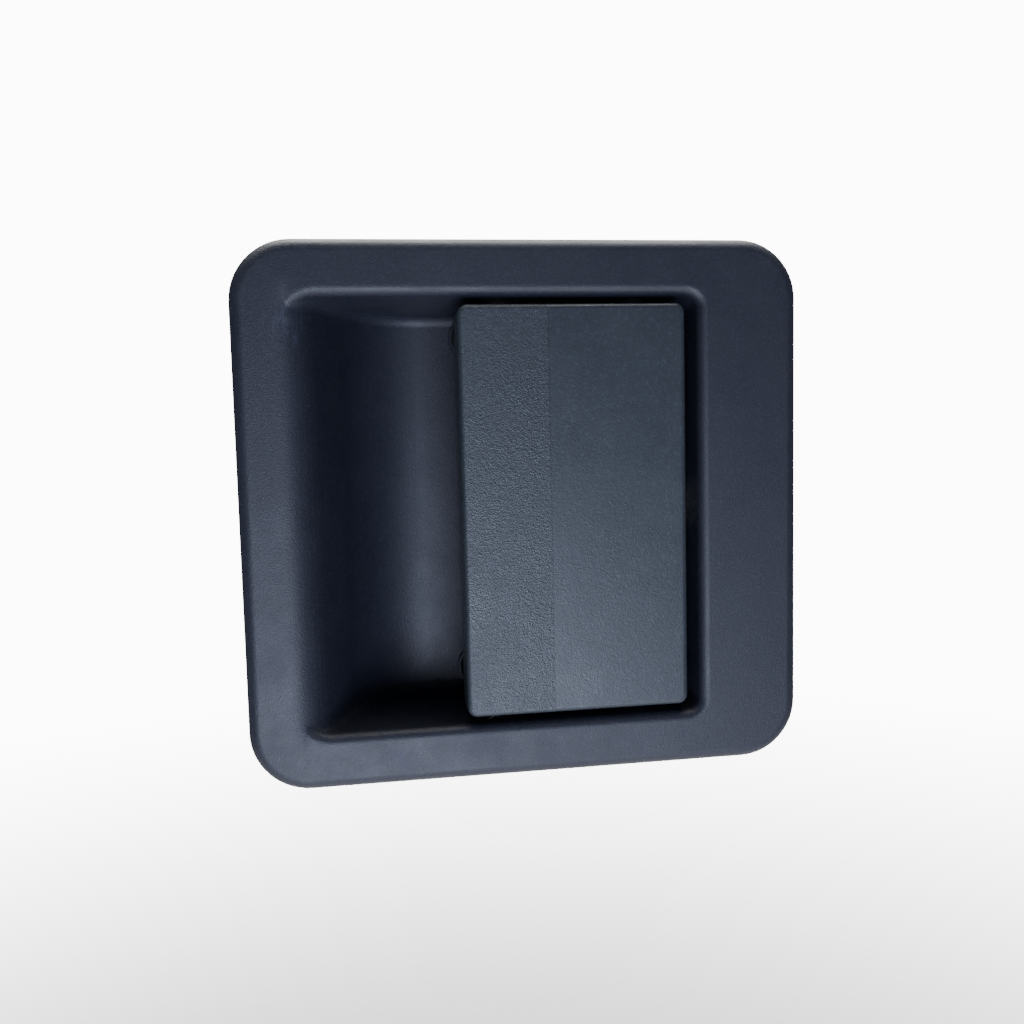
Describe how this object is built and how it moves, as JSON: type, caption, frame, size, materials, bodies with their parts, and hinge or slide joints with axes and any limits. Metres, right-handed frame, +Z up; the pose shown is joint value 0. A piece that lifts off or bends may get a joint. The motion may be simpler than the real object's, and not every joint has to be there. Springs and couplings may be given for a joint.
{
  "type": "flush paddle door handle",
  "caption": "Flush door handle: square moulded bezel with a finger pocket, a side-hinged paddle, and a bellcrank behind it that pushes the latch rod.",
  "frame": {"origin": "middle of the flange, on the door's outer skin, where the gasket's back face lies", "axes": "+X to the right seen from outside, +Y into the door, +Z up"},
  "size_m": [0.142, 0.0498, 0.135],
  "materials": {
    "bezel_plastic": "fine grain",
    "paddle_plastic": "fine grain",
    "gasket_rubber": "matte",
    "bumper_rubber": "satin",
    "zinc_steel": "zinc plated",
    "pin_steel": "ground",
    "spring_steel": "satin",
    "cast_zinc": "as cast",
    "brass": "machined",
    "white_nylon": "satin",
    "clip_nylon": "satin"
  },
  "bodies": {
    "housing": {"bezel": "bezel_plastic", "flange_gasket": "gasket_rubber", "mounting_studs": "zinc_steel", "hinge_pin": "pin_steel", "hinge_clips": "spring_steel", "rest_bumpers": "bumper_rubber", "paddle_spring": "spring_steel", "bellcrank_insert": "brass", "bellcrank_screw": "zinc_steel", "bellcrank_washer": "zinc_steel", "bellcrank_spring": "spring_steel"},
    "paddle": {"paddle": "paddle_plastic", "paddle_lever": "cast_zinc", "arm_tip_cap": "white_nylon", "lever_screws": "zinc_steel", "hinge_bushes": "white_nylon"},
    "bellcrank": {"bellcrank": "zinc_steel", "bellcrank_bush": "white_nylon", "contact_pin": "pin_steel", "contact_sleeve": "white_nylon"},
    "rod_clip": {"rod_clip": "clip_nylon"}
  },
  "joints": [
    {"name": "paddle_hinge", "type": "hinge", "parent": "housing", "child": "paddle", "pos_m": [0.0295, 0.0036, 0], "axis": [0, 0, 1], "range_deg": [0, 30], "stiffness_Nm_per_rad": 0.6, "springref_deg": -28.65, "deforming": ["paddle_spring"]},
    {"name": "bellcrank_turn", "type": "hinge", "parent": "housing", "child": "bellcrank", "pos_m": [0.02332, 0.0325, -0.02], "axis": [0, 1, 0], "range_deg": [-36, 0], "deforming": ["bellcrank_spring"]},
    {"name": "rod_clip_swivel", "type": "hinge", "parent": "bellcrank", "child": "rod_clip", "pos_m": [-0.00141, 0.0325, -0.01197], "axis": [0, 1, 0], "range_deg": [-45, 45]}
  ],
  "couplings": [
    {"joint": "bellcrank_turn", "follows": "paddle_hinge", "ratio": -1.2}
  ]
}
